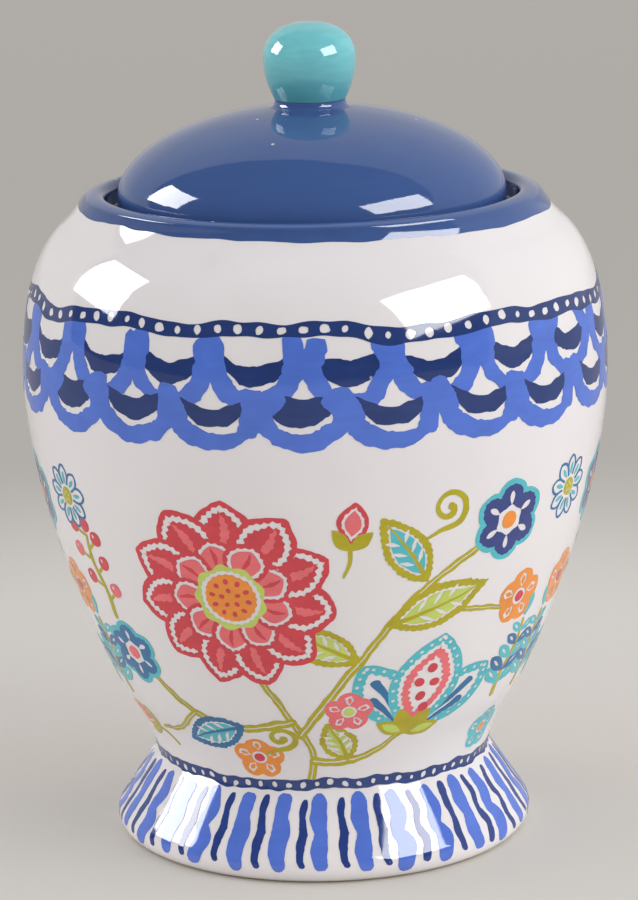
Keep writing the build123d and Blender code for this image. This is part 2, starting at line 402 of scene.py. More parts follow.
# %% Dip a piece in glaze
def glazed(name, colour, **character):
    """A material of clear glaze over one colour. character sets the group's inputs, as speck_share=0.08."""
    material, output = blank_material(name)
    tree = material.node_tree
    group = add(tree, "ShaderNodeGroup", (300, 0), node_tree=glaze)
    group.inputs["Colour"].default_value = colour
    for setting, value in character.items():
        group.inputs[setting.replace("_", " ").title()].default_value = value
    shader = add(tree, "ShaderNodeBsdfPrincipled", (600, 0), links={
        "Base Color": group.outputs["Colour"], "Roughness": group.outputs["Roughness"],
        "Normal": group.outputs["Normal"], "IOR": 1.54})
    tree.links.new(shader.outputs[0], output.inputs[0])
    return material, tree, shader


# %% [markdown]
# The potter leaves some clay bare, or the kiln would glue it down: the ring that the jar stands on,
# the inner part of the ledge that carries the lid, and the lid's own seat. Bare clay is matt and a
# little warmer. The rim's blue runs down the recess and over the outer part of the ledge. The lid is
# blue outside and plain white inside, and the knob is painted darker towards its foot, a painted shade.
# These zones are found from each point's height and its distance from the axis, so they stay put when
# the lid is lifted.

# %% Leave the clay bare where pieces stand
WHITE, BARE_CLAY = rgb(235, 231, 233), rgb(214, 203, 188)
LID_BLUE, RIM_BLUE = rgb(64, 91, 146), rgb(66, 93, 150)
# The second turquoise is a painted shade for the knob's foot.
TURQUOISE, TURQUOISE_PAINTED_SHADE = rgb(118, 199, 207), rgb(78, 152, 166)
clay_roughness, glaze_roughness = 0.85, 0.06
foot_ring, ledge, recess = (-1, 1.0), (205.5, 206.4), (205.5, 213)      # heights
ledge_bare, ledge_blue, seat_bare = (58.7, 63.4), (63.4, 67.2), (57.0, 62.0)      # distances from the axis
lid_inside, faces_down = (190, 205.9), -0.2
knob_shade_heights, knob_shade_most = (0.243, 0.258), 0.75


def zone(tree, value, limits, within=1.0):
    """A mask that is 1 where a value lies between two limits, in millimetres, inside another mask."""
    for test, limit in zip(("GREATER_THAN", "LESS_THAN"), limits):
        within = maths(tree, "MULTIPLY", within, maths(tree, test, value, limit * MM))
    return within


def swap(tree, shader, mask, colour, roughness):
    """Changes a shader's colour and roughness inside a mask."""
    base, rough = (shader.inputs[name].links[0].from_socket for name in ("Base Color", "Roughness"))
    tree.links.new(blend_colours(tree, mask, base, colour), shader.inputs["Base Color"])
    mixed = add(tree, "ShaderNodeMapRange", links={0: mask, 3: rough, 4: roughness}).outputs[0]
    tree.links.new(mixed, shader.inputs["Roughness"])


def place_on_the_wheel(tree):
    """Each point's distance from the axis, its height, and how far its face looks up."""
    where = add(tree, "ShaderNodeTexCoord").outputs
    axes = add(tree, "ShaderNodeSeparateXYZ", links={0: where["Object"]}).outputs
    flat = add(tree, "ShaderNodeCombineXYZ", links={0: axes[0], 1: axes[1]}).outputs[0]
    upward = add(tree, "ShaderNodeSeparateXYZ", links={0: where["Normal"]}).outputs[2]
    return vector_maths(tree, "LENGTH", flat), axes[2], upward


white_glaze, tree, shader = glazed("white_glaze_clear", WHITE, pool=0.05, pool_size=25, speck=0.25,
                                   speck_colour=rgb(190, 175, 165))
radius, height, upward = place_on_the_wheel(tree)
stands = zone(tree, height, foot_ring)
bare = maths(tree, "MAXIMUM", stands, zone(tree, radius, ledge_bare, zone(tree, height, ledge)))
swap(tree, shader, bare, BARE_CLAY, clay_roughness)
dipped = zone(tree, radius, ledge_blue, zone(tree, height, recess))
swap(tree, shader, dipped, RIM_BLUE, glaze_roughness)

lid_glaze, tree, shader = glazed("lid_blue_glaze", LID_BLUE, pool=0.16, pool_size=40, streak=0.1, speck=0.8,
                                 speck_share=0.08)
radius, height, upward = place_on_the_wheel(tree)
inner = maths(tree, "MAXIMUM", maths(tree, "LESS_THAN", upward, faces_down), zone(tree, height, lid_inside))
swap(tree, shader, inner, WHITE, glaze_roughness)
seat = zone(tree, radius, seat_bare, zone(tree, height, ledge))
swap(tree, shader, seat, BARE_CLAY, clay_roughness)

knob_glaze, tree, shader = glazed("knob_turquoise_glaze", TURQUOISE, pool=0.2, pool_size=70, streak=0.35,
                                  speck=0.3)
# Painted shade: the knob's turquoise darkens towards its foot.
knob_foot_shade = ramp(tree, place_on_the_wheel(tree)[1], *knob_shade_heights, knob_shade_most, 0.0)
knob_unshaded_colour = shader.inputs["Base Color"].links[0].from_socket
tree.links.new(blend_colours(tree, knob_foot_shade, knob_unshaded_colour, TURQUOISE_PAINTED_SHADE), shader.inputs["Base Color"])

rubber, output = blank_material("seal_silicone")
tree = rubber.node_tree
dust = clouds(tree, add(tree, "ShaderNodeTexCoord").outputs["Object"], 300.0)
surface = add(tree, "ShaderNodeBsdfPrincipled", links={
    "Base Color": blend_colours(tree, dust, rgb(212, 210, 205), rgb(190, 188, 184)),
    "Roughness": ramp(tree, dust, 0.3, 0.7, 0.45, 0.6)})
tree.links.new(surface.outputs[0], output.inputs[0])
finishes = {"jar_body": white_glaze, "lid_dome": lid_glaze, "lid_knob": knob_glaze, "lid_seal": rubber}
for node, finish in finishes.items():
    for slot in nodes[node].material_slots:
        slot.material = finish
    print(node, "wears", finish.name)

# %% [markdown]
# ## The painting, cut like paper
# On the real jar the colour lies under the glaze, flat, with crisp hand-cut edges. A shader could
# draw it, but only as sharply as its textures, and the exported model would blur it. Here each colour
# is a thin skin of its own. The jar's side is unrolled to a flat sheet: across is the way round, as on
# a drum of radius RING, and up is the way along the outline. Shapes are drawn on the sheet in
# millimetres, cut into flat areas, and wrapped back round the jar.

# %% Draw on the unrolled sheet
RING = 90.0
half_round = math.pi * RING
noise.seed_set(21)  # without a seed of its own, noise_vector changes from run to run


def smooth(points, closed=True, step=1.2):
    """A flowing line through a few points, as evenly spaced points."""
    points = np.array(points, float)
    if closed:
        chain = np.vstack([points[-1:], points, points[:2]])
    else:
        chain = np.vstack([2 * points[:1] - points[1:2], points, 2 * points[-1:] - points[-2:-1]])
    t = np.linspace(0, 1, 12, endpoint=False)[:, None]
    parts = [0.5 * (2 * b + (c - a) * t + (2 * a - 5 * b + 4 * c - d) * t ** 2
                    + (3 * b - a - 3 * c + d) * t ** 3)
             for a, b, c, d in zip(chain, chain[1:], chain[2:], chain[3:])]
    fine = np.vstack(parts + [chain[-2]])
    travelled = np.concatenate([[0], np.cumsum(np.hypot(*np.diff(fine, axis=0).T))])
    stops = np.linspace(0, travelled[-1], max(8, round(travelled[-1] / step)) + 1)
    line = np.column_stack([np.interp(stops, travelled, fine[:, k]) for k in (0, 1)])
    return line[:-1] if closed else line


def shaken(line, amount, length=6.0, seed=0.0):
    """A line drawn by an unsteady hand: a slow drift and a small tremble."""
    moved = []
    for x, y in line:
        drift = noise.noise_vector(Vector((x / length, y / length, seed)))
        tremble = noise.noise_vector(Vector((x, y, seed + 40)) / length * 3.3)
        moved.append((x + amount * (drift.x + 0.4 * tremble.x), y + amount * (drift.y + 0.4 * tremble.y)))
    return np.array(moved)


def stroke(points, widths, step=1.2):
    """The outline of a brush stroke: a flowing line with widths along it, and round ends."""
    line = smooth(points, closed=False, step=step)
    half = np.interp(np.linspace(0, 1, len(line)), np.linspace(0, 1, len(widths)), widths) / 2
    heading = np.gradient(line, axis=0)
    heading /= np.hypot(*heading.T)[:, None]
    side = np.column_stack([-heading[:, 1], heading[:, 0]]) * half[:, None]
    turns = np.radians(np.linspace(-90, 90, 7)[1:-1])
    caps = [centre + radius * np.column_stack([np.cos(turns) * ahead[0] - np.sin(turns) * ahead[1],
                                               np.sin(turns) * ahead[0] + np.cos(turns) * ahead[1]])
            for centre, ahead, radius in ((line[-1], heading[-1], half[-1]), (line[0], -heading[0], half[0]))]
    return np.vstack([line - side, caps[0], (line + side)[::-1], caps[1]])


def petal(length, width, widest=0.6, blunt=0.6):
    """A petal or leaf that stands on the origin. blunt under 1 rounds its ends, over 1 draws them out."""
    t = (1 - np.cos(np.linspace(0, math.pi, max(9, int(length * 1.1))))) / 2
    half = width / 2 * np.clip(np.sin(math.pi * t ** (math.log(0.5) / math.log(widest))), 0, 1) ** blunt
    right = np.column_stack([half, length * t])
    return np.vstack([right, (right[::-1] * (-1, 1))[1:-1]])


def oval(width, height, count=12):
    """A small round dab."""
    turns = np.linspace(0, 2 * math.pi, count, endpoint=False)
    return np.column_stack([width / 2 * np.cos(turns), height / 2 * np.sin(turns)])


def inward(shape):
    """At each point of an outline, the direction square to it that points in."""
    heading = np.roll(shape, -1, axis=0) - np.roll(shape, 1, axis=0)
    heading /= np.maximum(np.hypot(*heading.T), 1e-6)[:, None]
    return np.column_stack([-heading[:, 1], heading[:, 0]])


def inset(shape, amount):
    """A shape drawn in by an amount all round."""
    return shape + amount * inward(shape)


def rotated(shape, degrees, shift=(0, 0)):
    """A shape turned about the origin, then moved."""
    c, s = turned(degrees)
    return np.array(shape) @ np.array([[c, s], [-s, c]]) + shift


print("sheet:", round(2 * half_round), "mm round")

# %% [markdown]
# ## The border rows
# The border is one of the oldest patterns on pottery: a net of fish scales under a dotted rope. It
# repeats 21 times round the jar, but no two scales are quite alike, because a hand drew them. So a few
# variants of each shape are drawn, and a Geometry Nodes tree sets them along a line with a random
# pick, slide, turn and size. The same tree lays the dots on both ropes and the strokes on the foot.

# %% Build the tree that repeats shapes along a line
repeat_tree, given, result = node_group("GeometryNodeTree", "repeat_along_a_line", {
    "Line": ("Object", None), "Shapes": ("Collection", None), "Count": ("Int", 10), "Slide": ("Float", 0.0),
    "Turn": ("Float", 0.0), "Size": ("Float", 0.0), "Seed": ("Int", 0), "Finish": ("Material", None)},
    {"Geometry": "Geometry"})


def geometry(tree, kind, links, **values):
    """Adds one step on geometry and gives back what it makes."""
    return add(tree, "GeometryNode" + kind, links=links, **values).outputs[0]


def lot(kind, low, high, drawing):
    """A random value for each spot on the line. Each kind of draw adds its number to the seed."""
    socket = {"FLOAT_VECTOR": 0, "FLOAT": 2, "INT": 4}[kind]
    seed = maths(repeat_tree, "ADD", given["Seed"], drawing) if drawing else given["Seed"]
    return add(repeat_tree, "FunctionNodeRandomValue", data_type=kind, links={
        socket: low, socket + 1: high, "Seed": seed}).outputs[socket // 2]


def finished(tree, made, end):
    """The end of every tree: instances made real, and a material on them."""
    made = geometry(tree, "RealizeInstances", {"Geometry": made})
    tree.links.new(geometry(tree, "SetMaterial", {"Geometry": made, "Material": given["Finish"]}), end[0])


line = add(repeat_tree, "GeometryNodeObjectInfo", links={"Object": given["Line"]}).outputs["Geometry"]
spots = geometry(repeat_tree, "CurveToPoints", {"Curve": line, "Count": given["Count"]})
drift = vector_maths(repeat_tree, "SCALE", lot("FLOAT_VECTOR", (-1, -0.6, 0), (1, 0.6, 0), 0), given["Slide"])
spots = geometry(repeat_tree, "SetPosition", {"Geometry": spots, "Offset": drift})
pick = lot("INT", 0, 1000, 1)
lean = lot("FLOAT", maths(repeat_tree, "MULTIPLY", given["Turn"], -1), given["Turn"], 2)
grow = lot("FLOAT", *(maths(repeat_tree, sign, 1, given["Size"]) for sign in ("SUBTRACT", "ADD")), 3)
shapes = geometry(repeat_tree, "CollectionInfo", {0: given["Shapes"], 1: True, 2: True})
placed = geometry(repeat_tree, "InstanceOnPoints", {
    "Points": spots, "Instance": shapes, "Pick Instance": True, "Instance Index": pick, "Scale": grow,
    "Rotation": add(repeat_tree, "ShaderNodeCombineXYZ", links={2: lean}).outputs[0]})
finished(repeat_tree, placed, result)


def evaluated(mesh, tree, values):
    """The mesh that a Geometry Nodes tree makes. values are the tree's inputs by name."""
    holder = put_up("bench", mesh)
    modifier = holder.modifiers.new("tree", "NODES")
    modifier.node_group = tree
    for item in tree.interface.items_tree:
        if item.in_out == "INPUT" and item.name in values:
            modifier[item.identifier] = values[item.name]
    holder.update_tag()
    made = bpy.data.meshes.new_from_object(holder.evaluated_get(bpy.context.evaluated_depsgraph_get()))
    bpy.data.objects.remove(holder)
    return made


def poly_line(name, points):
    """A plain curve object through points, in metres."""
    curve = bpy.data.curves.new(name, "CURVE")
    curve.dimensions = "3D"
    spline = curve.splines.new("POLY")
    spline.points.add(len(points) - 1)
    for point, place in zip(spline.points, points):
        point.co = (*(c * MM for c in place), 1)
    return bpy.data.objects.new(name, curve)


def row(variants, line_points, count, slide=0.0, turn=0.0, size=0.0, seed=0):
    """Sets drawn variants along a line on the sheet and gives back the outline of each."""
    shelf = bpy.data.collections.new("variants")
    for index, shape in enumerate(variants):
        mesh = bpy.data.meshes.new("variant")
        mesh.from_pydata([(x * MM, y * MM, 0) for x, y in shape], [], [list(range(len(shape)))])
        shelf.objects.link(bpy.data.objects.new(f"variant_{index}", mesh))
    guide = poly_line("guide", [(x, y, 0) for x, y in line_points])
    made = evaluated(bpy.data.meshes.new("row"), repeat_tree, {
        "Line": guide, "Shapes": shelf, "Count": count, "Slide": slide * MM, "Turn": math.radians(turn),
        "Size": size, "Seed": seed, "Finish": white_glaze})
    outlines = [np.array([made.vertices[i].co[:2] for i in face.vertices]) / MM for face in made.polygons]
    for item in list(shelf.objects) + [guide]:
        bpy.data.objects.remove(item)
    bpy.data.collections.remove(shelf)
    return outlines


def level_row(first_angle, count, up):
    """A level line round the sheet that starts at an angle from the front and has room for count spots."""
    start = math.radians(first_angle) * RING
    return [(start, up), (start + 2 * half_round * (count - 1) / count, up)]


print("repeat tree has", len(repeat_tree.nodes), "nodes")

# %% [markdown]
# The painting is a list of shapes in the order a painter would brush them. Each has the name of its
# paint, or none where the white shows: a dot on a rope isn't white paint, it is where the blue was
# left out.

# %% Paint the net of scales
painting = []
rope_low, rope_middle = up_to(181.4), up_to(183.75)
scales_round, scale_phase = 21, -10.9
first_row, second_row = rope_low - 19.3, rope_low - 31.3
# How far each variant leans, how much wider its top is, and how high its boat's rim sits
scale_habits = ((0.0, 0.0, 1.4), (0.9, -2.6, 3.2), (-0.8, 0.6, 0.2), (0.3, -1.5, 2.3), (-1.0, 0.2, 1.0),
                (0.7, -0.6, 3.6), (-0.3, -3.2, 0.5))


def add_paint(paint, shapes):
    """Brushes shapes of one paint, over what is there."""
    painting.extend((paint, shape) for shape in shapes)


def scale_variants(half_width, top, bow, seed):
    """Hanging scales with their boats, a few drawn from one template."""
    scales, boats = [], []
    w = half_width
    for k, (lean, wider, lift) in enumerate(scale_habits):
        o = w + wider
        points = [(-o + lean, top), (-w, top * 0.66), (-w * 0.84, top * 0.34), (-w * 0.47, top * 0.09),
                  (lean, 0), (w * 0.47, top * 0.09), (w * 0.84, top * 0.34), (w, top * 0.66), (o + lean, top)]
        band = stroke(points, [7.4, 6.2, 5.2, 5.4, 5.0, 6.0, 7.2], step=1.1)
        scales.append(shaken(band, 1.45, 4.4, seed + k))
        boat = [(-w * 0.9, bow), (-w * 0.42, bow - 2.6 + lift), (lean, bow - 3.6 + lift),
                (w * 0.42, bow - 2.4 + lift), (w * 0.9, bow + 0.3), (w * 0.74, bow - 4.6),
                (w * 0.42, bow - 7.9), (lean, bow - 9.1), (-w * 0.42, bow - 8.1), (-w * 0.74, bow - 4.9)]
        boats.append(shaken(smooth(boat, step=1.1), 0.9, 4.0, seed + 20 + k))
    return scales, boats


for number, (behind_by, up, (scales, boats)) in enumerate((
        (9, first_row, scale_variants(11.5, 18.1, 14.8, 3.0)),
        (9.5, second_row, scale_variants(11.9, 13.2, 13.6, 9.0)))):
    guide = level_row(scale_phase - behind_by * 360 / scales_round, scales_round, up)
    habits = dict(slide=1.3, turn=4.0, size=0.05, seed=11 + number)
    net, rims = (row(variants, guide, scales_round, **habits) for variants in (scales, boats))
    add_paint("scale_boats", rims)
    add_paint("scale_net", net)
print("net:", len(painting), "shapes")


# %% [markdown]
# A rope of navy runs along the top of the net and another round the waist. Each is a band whose
# middle rises and falls and whose edges waver. The wave is read from noise on a circle, so the band
# meets itself at the back.

# %% Paint the ropes and their dots
dab_habits = ((1, 1), (0.85, 1.15), (1.1, 0.85), (0.8, 0.95), (1.15, 1.05), (0.7, 0.75))      # width, height


def ripple(angle, waves, seed):
    """A smooth random wave that comes back to its start after one turn."""
    reach = waves / math.pi
    return 2 * noise.noise(Vector((reach * math.cos(angle), reach * math.sin(angle), seed)))


def rippled(angles, level, *waves):
    """A level line with waves on it. Each wave is how far it swings, how many there are, and its seed."""
    return np.array([sum((swing * ripple(angle, count, seed) for swing, count, seed in waves), level)
                     for angle in angles])


def between(across, low, high):
    """The closed outline between two lines round the sheet."""
    return np.vstack([np.column_stack([across, low]), np.column_stack([across, high])[::-1]])


def round_angles(step):
    """Angles once round the sheet, a step apart in millimetres."""
    return np.linspace(-math.pi, math.pi, int(2 * half_round / step))


def band(middle, half_width, swing, waves, seed, step=1.3):
    """A wavy band round the sheet. Returns its outline and its middle line."""
    angles = round_angles(step)
    centre = rippled(angles, middle, (swing, waves, seed), (0.6 * swing, 4, seed + 5))
    low = centre - half_width * rippled(angles, 1, (0.22, waves * 3, seed + 9))
    high = centre + half_width * rippled(angles, 1, (0.22, waves * 3, seed + 13))
    across = angles * RING
    return between(across, low, high), np.column_stack([across, centre])


def dots_on(centre, count, width, height, seed):
    """Bare white dots, strung along a rope."""
    dabs = [shaken(oval(width * a, height * b), 0.3, 1.6, seed + k) for k, (a, b) in enumerate(dab_habits)]
    pitch = 2 * half_round / count
    inner = centre[(np.abs(centre[:, 0]) < half_round - pitch / 2)]
    return row(dabs, inner, count, slide=0.45, turn=25, size=0.1, seed=int(seed))


rope, middle = band(rope_middle, 2.5, 1.7, 11, 2.0)
add_paint("rope_upper", [rope])
add_paint(None, dots_on(middle, 88, 2.8, 2.9, 31))
print("upper rope:", len(painting), "shapes so far")

# %% Paint the strokes on the foot
foot_low, foot_high, strokes_round = 8.4, 31.5, 30
foot_middle, foot_half = (foot_low + foot_high) / 2, (foot_high - foot_low) / 2
foot_stretch = RING / skin(foot_middle)[0]
# How far each variant leans, and how it swells and thins along its length
stroke_habits = ((0.5, (0.8, 1.05, 0.85, 1.1, 0.85)), (-0.4, (0.95, 0.8, 1.1, 0.9, 0.75)),
                 (0.2, (0.75, 1.0, 0.8, 1.1, 0.95)), (-0.6, (0.9, 1.1, 0.8, 0.95, 0.8)),
                 (0.3, (0.7, 0.95, 1.1, 0.85, 0.9)))


def foot_strokes(width, seed):
    """Upright brush strokes that swell and thin along their length."""
    variants = []
    for k, (lean, swells) in enumerate(stroke_habits):
        points = [(lean, -foot_half), (-lean, -foot_half / 2), (lean * 1.2, 0), (-lean, foot_half / 2),
                  (lean, foot_half)]
        mark = stroke(np.array(points) * (1.2, 0.93), [width * s for s in swells], step=1.0)
        variants.append(shaken(mark * (foot_stretch, 1), 0.7, 4.0, seed + k))
    return variants


for paint, first_angle, width, seed in (("foot_strokes_wide", -169, 5.6, 40),
                                        ("foot_strokes_narrow", -175, 2.7, 50)):
    guide = level_row(first_angle, strokes_round, foot_middle)
    marks = row(foot_strokes(width, seed), guide, strokes_round, slide=0.7, turn=1.2, size=0.05, seed=seed)
    add_paint(paint, marks)
print("foot:", 2 * strokes_round, "strokes")

# %% [markdown]
# ## The flowers
# The jar's belly carries a loose painting of garden flowers in the bright colours of folk pottery.
# Each kind of flower, leaf or berry is a function that brushes its own shapes in painter's order:
# an outline colour, a thin line left white, and a second colour inside it. That double edge is what
# makes such painting look rich. A panel of flowers is then laid out three times round the jar, once
# turned to face the other way.

# %% Lay a motif on the jar
CORAL, PINK, ORANGE, AQUA = "petals_coral", "petals_pink", "petals_orange", "petals_turquoise"
TEAL, NAVY, OLIVE, LIME = "petals_teal", "petals_navy", "leaves_olive", "leaves_lime"
panel_middle, panel_side = 0.0, 1
flick = random.Random(7)


def spot(angle, up, turn=0.0, size=1.0):
    """A place in the panel: angle from its middle, height along the outline, turn to the left, size."""
    return panel_middle + panel_side * angle, up, turn, size, panel_side


def brush(paint, shape, at, shake=0.5):
    """Brushes one shape of a motif at its place on the sheet."""
    angle, up, turn, size, side = at
    shape = rotated(np.array(shape) * size, turn)
    if side < 0:
        shape = (shape * (-1, 1))[::-1]
    shape = shape * (RING / skin(up)[0], 1) + (math.radians(angle) * RING, up)
    painting.append((paint, shaken(shape, shake, 4.5, 0.37 * len(painting))))


def round_of(count, shape, start=0.0, away=0.0):
    """Copies of a shape set round the origin, pointing out."""
    return [rotated(np.array(shape) + (0, away), start + 360 * k / count) for k in range(count)]


def ragged(shape, depth=0.6, pitch=1.15):
    """An outline pushed out and in by turns, as the flicks of a brush leave it."""
    line = smooth(shape[::2], step=pitch)
    push = np.array([depth * flick.uniform(0.2, 1.0) * (-1) ** k for k in range(len(line))])[:, None]
    return line - push * inward(line)


def layers(outlines, at, *coats):
    """Brushes coats over each outline. A coat is its paint, how far in it lies, how ragged, and its shake."""
    for outline in outlines:
        for paint, amount, rough, shake in coats:
            shape = inset(outline, amount)
            brush(paint, ragged(shape, rough) if rough else shape, at, shake)


# %% Flowers seen from the front
def big_flower(at, reach=34.0):
    """An open flower: a ring of bold petals, a ring of small ones over it, and a speckled heart."""
    layers(round_of(11, petal(reach, reach * 0.56, 0.66, 0.7)), at, (CORAL, 0, 0, 0.6),
           (None, reach * 0.052, 0.55, 0.3), (CORAL, reach * 0.105, 0.7, 0.3))
    crease = stroke([(0, reach * 0.5), (0.8, reach * 0.7), (0, reach * 0.86)], [1.0, 3.2, 0.8], 0.9)
    layers(round_of(11, crease), at, (PINK, 0, 0.4, 0.4))
    layers(round_of(9, petal(reach * 0.63, reach * 0.42, 0.68, 0.7), 14), at, (CORAL, 0, 0, 0.5),
           (None, reach * 0.04, 0.4, 0.3), (PINK, reach * 0.075, 0, 0.3))
    crease = stroke([(0, reach * 0.34), (0.4, reach * 0.44), (0, reach * 0.52)], [0.6, 1.6, 0.6], 0.8)
    layers(round_of(9, crease, 14), at, (CORAL, 0, 0, 0.3))
    heart = reach * 0.29
    brush(LIME, smooth([heart * (1.1 + 0.12 * (k % 2)) * turned(20 * k) for k in range(18)]), at)
    brush(None, ragged(oval(heart * 1.98, heart * 1.98, 40), 0.45), at, 0.35)
    brush(ORANGE, ragged(oval(heart * 1.7, heart * 1.7, 36), 0.35), at, 0.45)
    for ring, count, dab in ((0.6, 10, 1.7), (0.28, 5, 1.6)):
        layers(round_of(count, oval(dab, dab * 1.25, 9), 8, heart * ring), at, (CORAL, 0, 0, 0.25))


def star_flower(at, reach=13.0, paint=NAVY, edge=AQUA, heart=ORANGE):
    """A small flower whose six petals have a second colour showing along their edges."""
    layers(round_of(6, petal(reach, reach * 0.86, 0.62, 0.55)), at, (edge, 0, 0, 0.45))
    layers(round_of(6, petal(reach * 0.88, reach * 0.68, 0.62, 0.55)), at, (paint, 0, 0.25, 0.35))
    layers(round_of(6, petal(reach * 0.34, reach * 0.15, 0.6, 0.6), 0, reach * 0.36), at, (None, 0, 0, 0.25))
    eye = [reach * (0.33 + 0.05 * (k % 2)) * turned(30 * k) for k in range(12)]
    brush(None, smooth(eye, step=0.9), at, 0.25)
    brush(heart, oval(reach * 0.42, reach * 0.42, 14), at, 0.3)


def small_flower(at, reach=9.0, paint=ORANGE, heart=CORAL):
    """A little flower of five petals with white creases."""
    layers(round_of(5, petal(reach, reach * 0.95, 0.6, 0.5)), at, (paint, 0, 0, 0.5))
    layers(round_of(5, petal(reach * 0.5, reach * 0.36, 0.6, 0.6), 0, reach * 0.36), at, (None, 0, 0.3, 0.2))
    layers(round_of(5, petal(reach * 0.3, reach * 0.16, 0.6, 0.6), 0, reach * 0.44), at, (paint, 0, 0, 0.2))
    brush(None, oval(reach * 0.62, reach * 0.62, 14), at, 0.25)
    brush(heart, oval(reach * 0.42, reach * 0.42, 12), at, 0.25)


def daisy(at, reach=11.0):
    """A daisy with white petals: each is only an outline with one stroke in it."""
    layers(round_of(9, petal(reach, reach * 0.52, 0.66, 0.6)), at, (TEAL, 0, 0, 0.35),
           (None, reach * 0.075, 0, 0.25))
    crease = stroke([(0, reach * 0.42), (0.2, reach * 0.7)], [0.7, 1.5, 0.9], 0.8)
    layers(round_of(9, crease), at, (AQUA, 0, 0, 0.3))
    brush(None, oval(reach * 0.74, reach * 0.74, 16), at, 0.25)
    brush(OLIVE, oval(reach * 0.56, reach * 0.56, 16), at, 0.35)
    layers(round_of(5, oval(1.0, 1.1, 8), 0, reach * 0.13), at, (LIME, 0, 0, 0.15))


# %% Flowers and buds seen from the side
def tulip(at):
    """A cup of three petals with dotted edges and a pink heart."""
    for lean in (36, -36):
        outline = rotated(petal(34, 17, 0.6, 0.72), lean)
        layers([outline], at, (AQUA, 0, 0, 0.5), (None, 3.2, 0.45, 0.35))
        for slant, length in ((lean - 10, 20), (lean, 26), (lean + 10, 20)):
            vein = stroke([(0, 7), (0.4, length * 0.7), (0, length)], [0.8, 1.6, 2.8], 0.9)
            brush(TEAL, rotated(vein, slant), at, 0.35)
        for dot in inset(outline, 1.5)[4:-4:3]:
            brush(None, oval(1.2, 1.4, 8) + dot, at, 0.15)
    outline = petal(40, 22, 0.52, 0.78)
    layers([outline], at, (AQUA, 0, 0, 0.5), (None, 2.6, 0.5, 0.35),
           (PINK, 4.0, 0.5, 0.4), (None, 6.3, 0.6, 0.3))
    for dot in ((0, 27), (-2.4, 21.5), (2.4, 21.5), (-0.3, 16), (2.2, 11.5)):
        brush(CORAL, oval(3.2, 3.5, 12) + dot, at, 0.35)
    for dot in inset(outline, 1.3)[3:-3:3]:
        brush(None, oval(1.15, 1.35, 9) + dot, at, 0.2)
    for lean in (66, -66, 26, -26):
        brush(OLIVE, rotated(petal(12, 6, 0.5, 0.9), lean), at, 0.4)
    for lean in (66, -66):
        brush(LIME, rotated(inset(petal(12, 6, 0.5, 0.9), 1.3), lean), at, 0.2)


def bud(at, paint):
    """A closed bud with a pink heart in its green cup."""
    layers([petal(15, 10, 0.5, 0.85) + (0, 2)], at, (paint, 0, 0, 0.45), (None, 1.5, 0.3, 0.25),
           (PINK, 2.4, 0, 0.25))
    for lean in (42, -42):
        brush(OLIVE, rotated(petal(9.5, 4.6, 0.5, 0.9), lean), at, 0.35)
    brush(OLIVE, stroke([(0, 2), (0.5, -4), (-0.8, -9)], [1.6, 1.3, 1.0]), at, 0.3)


# %% Leaves, berries and tendrils
def leaf(at, length=30.0, width=14.0, core=LIME, edge=OLIVE):
    """A pointed leaf with a bold edge, a second colour inside and white flicks beside the midrib."""
    layers([petal(length, width, 0.46, 0.9)], at, (edge, 0, 0.3, 0.5), (None, width * 0.15, 0.35, 0.3),
           (core, width * 0.2, 0, 0.4))
    midrib = stroke([(0, length * 0.1), (0.5, length * 0.5), (0, length * 0.86)], [1.5, 1.1, 0.5], 1.0)
    brush(edge, midrib, at, 0.3)
    for step in (0.3, 0.45, 0.6):
        for side in (-1, 1):
            reach = width * 0.3 * (1 - 0.5 * abs(step - 0.42))
            line = [(side * 1.1, length * step), (side * reach, length * (step + 0.1))]
            brush(None, stroke(line, [0.6, 1.5, 0.7], 0.8), at, 0.25)


def berries(at, count=6):
    """A bending sprig with berries on short stalks."""
    stem = smooth([(0, 0), (1.6, 10), (0.4, 20), (3.2, 31)], closed=False)
    brush(OLIVE, stroke(stem[::4], [2.0, 1.6, 1.1], 1.1), at, 0.3)
    for k in range(count):
        foot = stem[int((k + 1.6) / (count + 1) * (len(stem) - 1))]
        tip = foot + ((-1) ** k * 5.6, 3.6)
        brush(OLIVE, stroke([foot, (foot + tip) / 2 + (0, -0.4), tip], [1.1, 0.9], 0.9), at, 0.2)
        brush(CORAL if k % 3 else PINK, oval(4.9, 5.3, 14) + tip, at, 0.35)
        brush(None, oval(1.2, 1.5, 8) + tip + (-0.8, 0.9), at, 0.15)
    brush(CORAL, oval(4.5, 4.9, 14) + stem[-1] + (0.3, 1.2), at, 0.3)


def frond(at, count=5, paints=(AQUA, TEAL)):
    """A feathery sprig of paired leaflets."""
    stem = smooth([(0, 0), (-1.2, 9), (0.8, 19), (-0.6, 30)], closed=False)
    brush(OLIVE, stroke(stem[::4], [1.9, 1.5, 1.0], 1.1), at, 0.25)
    for k in range(count):
        foot = stem[int((k + 1) / (count + 1) * (len(stem) - 1))]
        length = 11.5 - 1.2 * k
        crease = stroke([(0, length * 0.4), (0, length * 0.75)], [0.6, 1.1, 0.5], 0.8)
        for lean in (52, -52):
            brush(paints[k % 2], rotated(petal(length, length * 0.46, 0.56, 0.7), lean, foot), at, 0.35)
            brush(None, rotated(crease, lean, foot), at, 0.15)
    brush(paints[0], petal(9, 4.2, 0.56, 0.7) + stem[-1], at, 0.3)


def tendril(at, turns=1.35, reach=6.0):
    """A curl at the end of a thin stem."""
    curl = [(reach * (1 - t) ** 0.8 + 0.8) * turned(-90 + 360 * turns * t) + (0, reach)
            for t in np.linspace(0, 1, 15)]
    brush(OLIVE, stroke([(-6, -3.4), (-2.6, -1.6)] + curl, [1.0, 2.2, 1.8, 1.4, 2.6], 1.0), at, 0.3)


